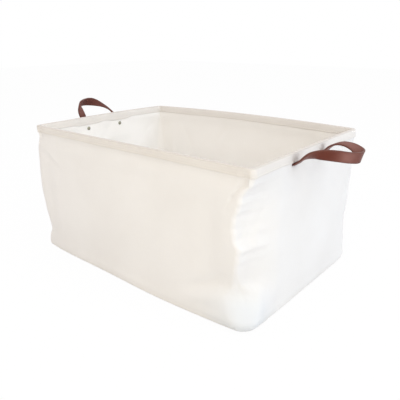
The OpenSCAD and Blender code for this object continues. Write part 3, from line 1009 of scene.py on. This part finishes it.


# the last colour given to the canvas and to the band is the painted shade's colour
canvas_cloth = weave_material("canvas cloth", colour_of(238, 236, 234), colour_of(227, 224, 221),
                              .8, .12, shade_colour=colour_of(222, 224, 226))
# the lining is paler than the canvas: partly a paler cloth, partly painted light for the light that
# comes in through the walls
lining_cloth = weave_material("lining cloth", colour_of(248, 246, 243), colour_of(240, 237, 233),
                              .6, .08)
# the band is folded from the same canvas, but is given darker colours: painted shade
band_cloth = weave_material("band cloth", colour_of(233, 229, 224), colour_of(221, 215, 209),
                            .8, .12, shade_colour=colour_of(209, 202, 195))
for pieces, cloth in ((canvas_pieces, canvas_cloth), (lining_pieces, lining_cloth),
                      ([rim_band], band_cloth)):
    for piece in pieces:
        piece.data.materials.append(cloth)
print("canvas, lining and band finished")

# %% [markdown]
# ## Thread, wire, board and rivets
# Thread is cotton with a twist, so its bands run aslant. The wire and its
# sleeve are drawn steel, scratched lengthwise. The board is pressed fibre,
# mottled like card. The rivets are dull, darkened brass, mottled by handling.

# %% Mix the small finishes
def twist_material(name, colour):
    """Thread, with the aslant bands of its twist."""
    def build(tree):
        where = add(tree, "NewGeometry").outputs["Position"]
        bands = add(tree, "TexWave", wave_type="BANDS", bands_direction="DIAGONAL", Vector=where,
                    Scale=900.0)
        bump = add(tree, "Bump", Strength=.6, Distance=.1 * MM, Height=bands.outputs["Fac"])
        return add(tree, "BsdfPrincipled", Base_Color=colour, Normal=bump.outputs[0], Roughness=.8)

    return new_material(name, build)


def worn_material(name, light, dark, scale, metal, rough, stretch=(1, 1, 1)):
    """Metal or board, mottled between two colours and between two roughnesses."""
    def build(tree):
        where = add(tree, "NewGeometry").outputs["Position"]
        drawn_out = add(tree, "Mapping", Vector=where, Scale=stretch)
        noise = add(tree, "TexNoise", Vector=drawn_out.outputs[0], Scale=scale,
                    Detail=6.0).outputs["Fac"]
        bump = add(tree, "Bump", Strength=.5, Distance=.1 * MM, Height=noise)
        polish = add(tree, "MapRange", Value=noise, To_Min=rough[0], To_Max=rough[1])
        return add(tree, "BsdfPrincipled", Base_Color=mix(tree, noise, dark, light),
                   Normal=bump.outputs[0], Roughness=polish.outputs["Result"], Metallic=metal)

    return new_material(name, build)


thread_cotton = twist_material("cotton thread", colour_of(236, 231, 224))
for thread in threads:
    thread.data.materials.append(thread_cotton)
steel = worn_material("drawn steel", colour_of(190, 192, 194), colour_of(120, 122, 125), 300.0,
                      1.0, (.25, .5), stretch=(1, 1, 6))
board_card = worn_material("pressed board", colour_of(196, 172, 140), colour_of(160, 134, 104),
                           120.0, 0.0, (.75, .95))
dull_brass = worn_material("dull brass", colour_of(176, 174, 158), colour_of(120, 118, 102), 260.0,
                           1.0, (.35, .6))
for piece in (hem_wire, hem_sleeve):
    piece.data.materials.append(steel)


def refinish(node, material):
    """Give a ready-made piece of the frame its finish."""
    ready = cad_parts[node]
    for slot in ready.material_slots:
        slot.material = material
    if not ready.material_slots:
        ready.data.materials.append(material)


refinish("base_board", board_card)
for side in ("left", "right"):
    refinish(f"{side}_rivet_posts", dull_brass)
    refinish(f"{side}_rivet_heads", dull_brass)
print("small finishes mixed")

# %% [markdown]
# ## Leather
# The smooth side is dyed red-brown and has a fine pebbled grain of cells with
# creases between them. The flesh side, which the loop shows where it twists,
# is fibrous. Pale zones along each loop are painted highlight. The cut edges
# are burnished. Three values kept with the mesh say how near the edge each
# point is, on which side, and how much painted highlight it has, and they mix
# the colours.

# %% Mix the leather
def leather(tree):
    """The leather's surface, which reads the values kept with each strap."""
    where = add(tree, "UVMap", uv_map="cloth").outputs[0]
    grain = add(tree, "TexVoronoi", feature="DISTANCE_TO_EDGE", Vector=where, Scale=1100.0)
    pores = add(tree, "TexNoise", Vector=where, Scale=2600.0, Detail=3.0)
    dye = add(tree, "TexNoise", Vector=where, Scale=55.0, Detail=5.0).outputs["Fac"]
    fibre = add(tree, "TexNoise", Vector=where, Scale=1500.0, Detail=4.0).outputs["Fac"]
    edge, flesh, painted_highlight = (add(tree, "Attribute", attribute_name=key).outputs["Fac"]
                        for key in ("edge", "flesh", "painted_highlight"))
    top = mix(tree, dye, colour_of(80, 28, 12), colour_of(106, 44, 24))
    under = mix(tree, fibre, colour_of(72, 32, 24), colour_of(98, 52, 42))
    # painted highlight: a pale colour mixed in along the loops, where the kept value says
    mottle = add(tree, "MapRange", Value=dye, To_Min=.3, To_Max=.8)
    highlight_share = add(tree, "Math", painted_highlight, mottle.outputs["Result"], operation="MULTIPLY")
    faces = mix(tree, highlight_share.outputs[0], mix(tree, flesh, top, under), colour_of(150, 108, 100))
    colour = mix(tree, edge, faces, colour_of(98, 56, 46))
    cells = add(tree, "MapRange", Value=grain.outputs["Distance"], From_Max=.25)
    height = add(tree, "Math", pores.outputs["Fac"], .4, cells.outputs["Result"],
                 operation="MULTIPLY_ADD")
    bump = add(tree, "Bump", Strength=.5, Distance=.12 * MM, Height=height.outputs[0])
    rough = add(tree, "MapRange", Value=flesh, To_Min=.36, To_Max=.72)
    return add(tree, "BsdfPrincipled", Base_Color=colour, Normal=bump.outputs[0],
               Roughness=rough.outputs["Result"], Specular_IOR_Level=.28)


strap_leather = new_material("strap leather", leather)
for strap in (left_strap, right_strap):
    strap.data.materials.append(strap_leather)
print("leather mixed")

# %% [markdown]
# ## Camera
# The bin is seen from above its near right corner, from a normal distance, so
# that one long wall, one end and two inner faces show.

# %% Set the camera
CAMERA_AT = (.56444, -.65022, .41095)
TURNED, LOWERED, ROLLED = 39.862, 19.481, -.113     # degrees
camera = put_in_scene("view", bpy.data.cameras.new("view"))
camera.data.sensor_width, camera.data.lens = 36, 41.4252
camera.matrix_world = (Matrix.Translation(CAMERA_AT)
                       @ Matrix.Rotation(math.radians(TURNED), 4, "Z")
                       @ Matrix.Rotation(math.radians(90 - LOWERED), 4, "X")
                       @ Matrix.Rotation(math.radians(ROLLED), 4, "Z"))
bpy.context.scene.camera = camera
print("lens", round(camera.data.lens, 2), "mm")

# %% [markdown]
# ## Lamps
# White cloth needs light that falls off gently, or its folds vanish. A large,
# cool lamp lights the right end from the side. A small, warm one stands nearer,
# over the front right, so the long wall is brightest at its right and darker
# and greyer at its left. A third lights the bin from above.

# %% Hang the lamps
def soft_lamp(name, place, aim, size, power, colour):
    """A square lamp, size metres across, turned so that it shines at aim."""
    lamp = put_in_scene(name, bpy.data.lights.new(name, "AREA"))
    lamp.data.shape, lamp.data.size = "SQUARE", size
    lamp.data.energy, lamp.data.color = power, colour
    lamp.location = place
    lamp.rotation_euler = (Vector(aim) - Vector(place)).to_track_quat("-Z", "Y").to_euler()
    lamp.visible_camera = False
    print(name, "gives", power, "W")


soft_lamp("key", (2.3, .2, 1.4), (.1, 0, .12), 1.9, 26, (.74, .88, 1.0))
soft_lamp("fill", (.42, -1.1, .75), (.08, -.05, .12), .6, 3.4, (1.0, .875, .55))
soft_lamp("overhead", (0, .05, 2.4), (0, 0, .1), 1.8, 16.3, (.93, .94, .98))

# %% [markdown]
# ## Surroundings and floor
# The world is white where the camera looks past the bin, and a little dimmer
# and rosier where it lights the cloth. The floor shows nearly pure white, with
# a trace of the bin's soft shadow. It lies a hair under the base, so that the
# two don't share a plane.

# %% Paint the surroundings
world = bpy.data.worlds.new("studio")
bpy.context.scene.world = world
world.use_nodes = True
tree = world.node_tree
tree.nodes.clear()
lit = add(tree, "Background", Color=(1.0, .97, .98, 1), Strength=.82)
seen = add(tree, "Background", Color=(1, 1, 1, 1), Strength=1.0)
path = add(tree, "LightPath").outputs
direct = add(tree, "Math", path["Is Camera Ray"], path["Is Glossy Ray"], operation="MAXIMUM")
direct = add(tree, "Math", direct.outputs[0], path["Is Transmission Ray"], operation="MAXIMUM")
sky = add(tree, "MixShader", direct.outputs[0], lit.outputs[0], seen.outputs[0])
add(tree, "OutputWorld", sky.outputs[0])

# %% Lay the floor
UNDER, FLOOR_HALF = -.4 * MM, 6
floor_mesh = bpy.data.meshes.new("floor")
floor_mesh.from_pydata([(x * FLOOR_HALF, y * FLOOR_HALF, UNDER)
                        for x, y in ((-1, -1), (1, -1), (1, 1), (-1, 1))], [], [(0, 1, 2, 3)])
floor = put_in_scene("floor", floor_mesh)


def floor_paint(tree):
    """Matt pale grey that the camera sees as nearly pure white, shadow and all."""
    paint = add(tree, "BsdfDiffuse", Color=(.82, .82, .82, 1))
    glow = add(tree, "Emission", Strength=1.0)
    path = add(tree, "LightPath").outputs
    share = add(tree, "Math", path["Is Camera Ray"], .965, operation="MULTIPLY")
    return add(tree, "MixShader", share.outputs[0], paint.outputs[0], glow.outputs[0])


floor_mesh.materials.append(new_material("floor white", floor_paint))
bpy.context.scene.view_settings.view_transform = "Standard"
print("surroundings and floor set")
